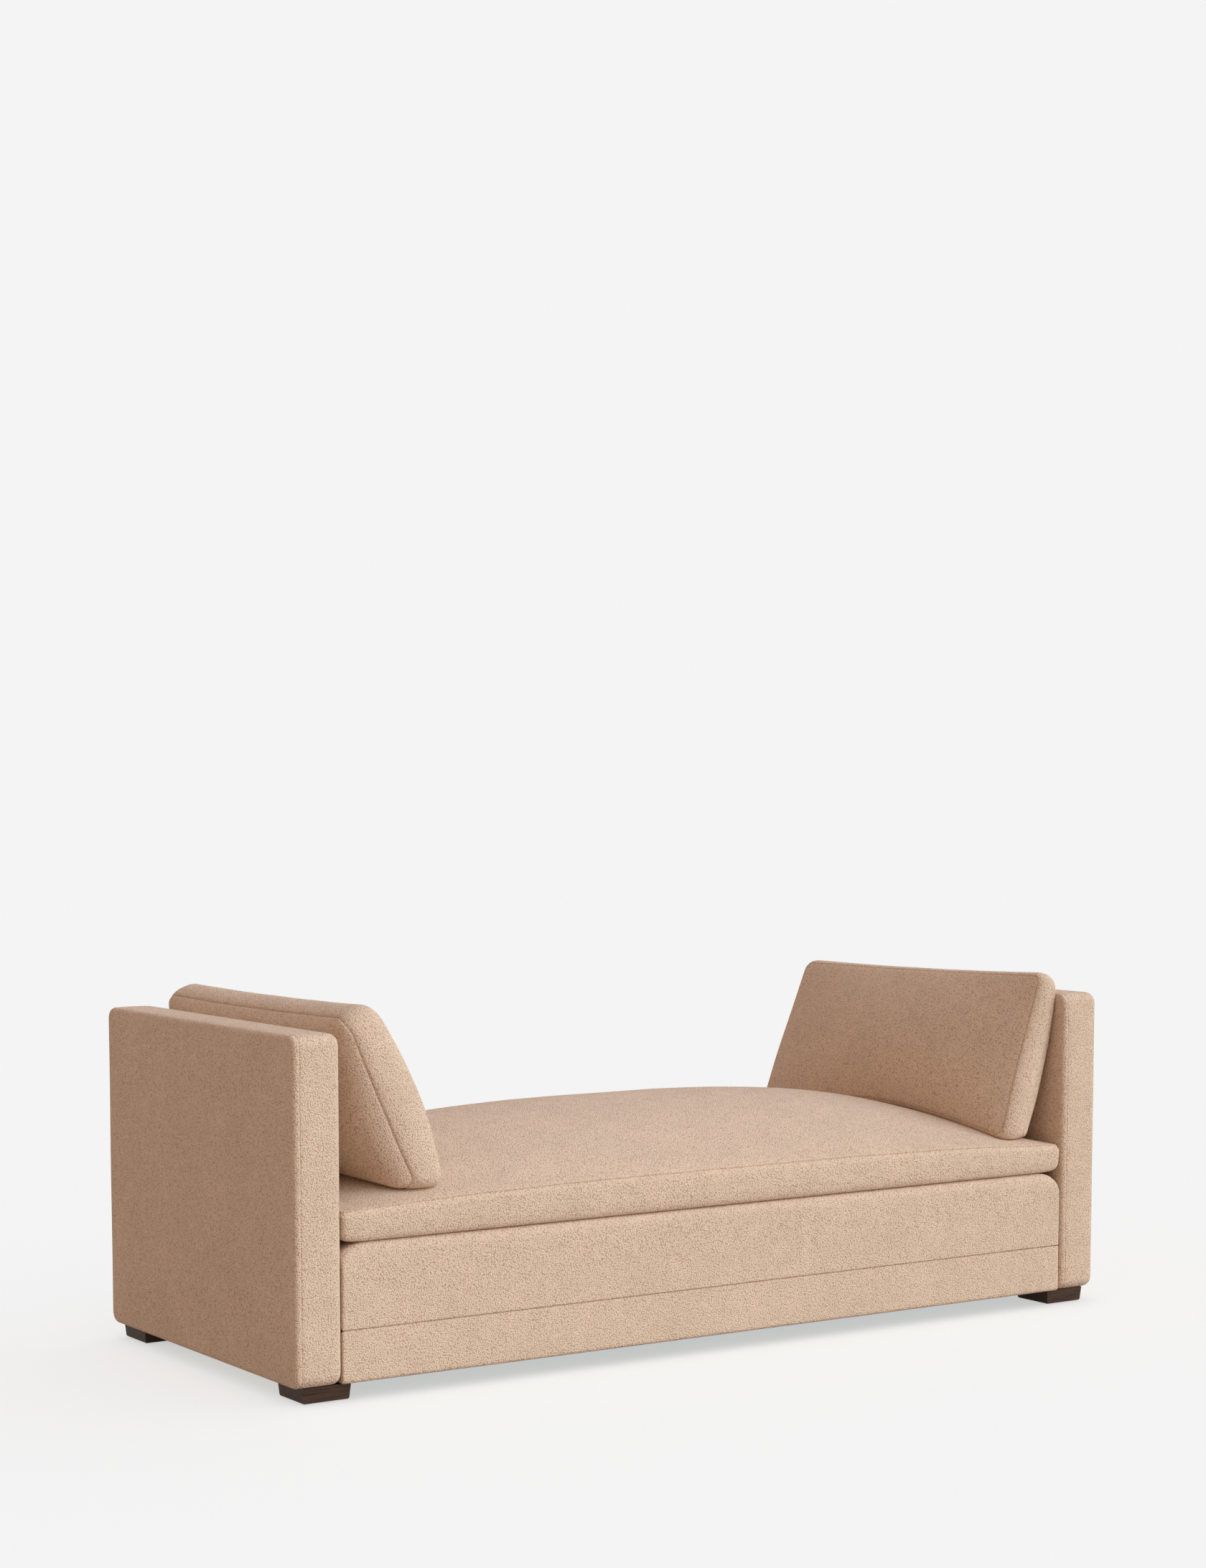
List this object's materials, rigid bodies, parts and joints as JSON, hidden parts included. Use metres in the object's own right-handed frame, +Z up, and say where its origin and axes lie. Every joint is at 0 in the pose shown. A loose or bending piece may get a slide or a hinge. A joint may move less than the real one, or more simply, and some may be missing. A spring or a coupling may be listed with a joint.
{
  "type": "chaise longue",
  "caption": "Low backless upholstered chaise longue with a high padded arm at each end, a crowned loose seat cushion, leaning bolsters and short square legs.",
  "frame": {"origin": "on the floor, below the middle of the seat", "axes": "+X along the length to the right arm as seen from the front, +Y to the back, +Z up"},
  "size_m": [2.04, 0.85, 0.7548],
  "materials": {
    "boucle": "looped boucle cloth, warm sand",
    "foam": "open-cell polyurethane foam, off-white",
    "wadding": "soft polyester wadding, white",
    "felt": "needled felt pad, grey",
    "webbing": "woven elastic webbing",
    "dust_cloth": "black non-woven cloth",
    "zip_tape": "coil zip on a woven tape, to match the cloth",
    "timber": "sawn hardwood, unfinished",
    "plywood": "plywood, unfinished",
    "leg_wood": "dark brown stained wood, satin",
    "steel": "zinc-plated steel",
    "nylon": "dark nylon"
  },
  "bodies": {
    "frame": {"left_arm_cover": "boucle", "left_arm_foam": "foam", "left_arm_front_post": "timber", "left_arm_rear_post": "timber", "left_arm_top_rail": "timber", "left_arm_mid_rail": "timber", "left_arm_bottom_rail": "timber", "left_arm_inner_panel": "plywood", "left_arm_outer_panel": "plywood", "right_arm_cover": "boucle", "right_arm_foam": "foam", "right_arm_front_post": "timber", "right_arm_rear_post": "timber", "right_arm_top_rail": "timber", "right_arm_mid_rail": "timber", "right_arm_bottom_rail": "timber", "right_arm_inner_panel": "plywood", "right_arm_outer_panel": "plywood", "arm_bolts": "steel", "arm_bolt_washers": "steel", "arm_tee_nuts": "steel", "front_rail": "timber", "rear_rail": "timber", "left_end_rail": "timber", "right_end_rail": "timber", "left_stretcher": "timber", "right_stretcher": "timber", "corner_blocks": "timber", "cross_webbing": "webbing", "long_webbing": "webbing", "deck_felt": "felt", "deck_foam": "foam", "deck_cloth": "boucle", "front_rail_foam": "foam", "rear_rail_foam": "foam", "front_panel_cloth": "boucle", "rear_panel_cloth": "boucle", "front_band_cloth": "boucle", "rear_band_cloth": "boucle", "dust_cover": "dust_cloth", "front_left_leg": "leg_wood", "front_right_leg": "leg_wood", "rear_left_leg": "leg_wood", "rear_right_leg": "leg_wood", "leg_screws": "steel", "leg_glides": "nylon"},
    "seat": {"seat_cushion_cover": "boucle", "seat_cushion_wrap": "wadding", "seat_cushion_core": "foam", "seat_zip": "zip_tape"},
    "zip_slider": {"seat_zip_slider": "steel"},
    "left_bolster": {"left_bolster_cover": "boucle", "left_bolster_fill": "wadding"},
    "right_bolster": {"right_bolster_cover": "boucle", "right_bolster_fill": "wadding"}
  },
  "joints": [
    {"name": "seat_lift", "type": "slide", "parent": "frame", "child": "seat", "axis": [0, 0, 1], "range_m": [0, 0.42]},
    {"name": "zip_travel", "type": "slide", "parent": "seat", "child": "zip_slider", "axis": [-1, 0, 0], "range_m": [0, 1.44]},
    {"name": "left_bolster_lift", "type": "slide", "parent": "seat", "child": "left_bolster", "axis": [0, 0, 1], "range_m": [0, 0.35]},
    {"name": "right_bolster_lift", "type": "slide", "parent": "seat", "child": "right_bolster", "axis": [0, 0, 1], "range_m": [0, 0.35]}
  ]
}
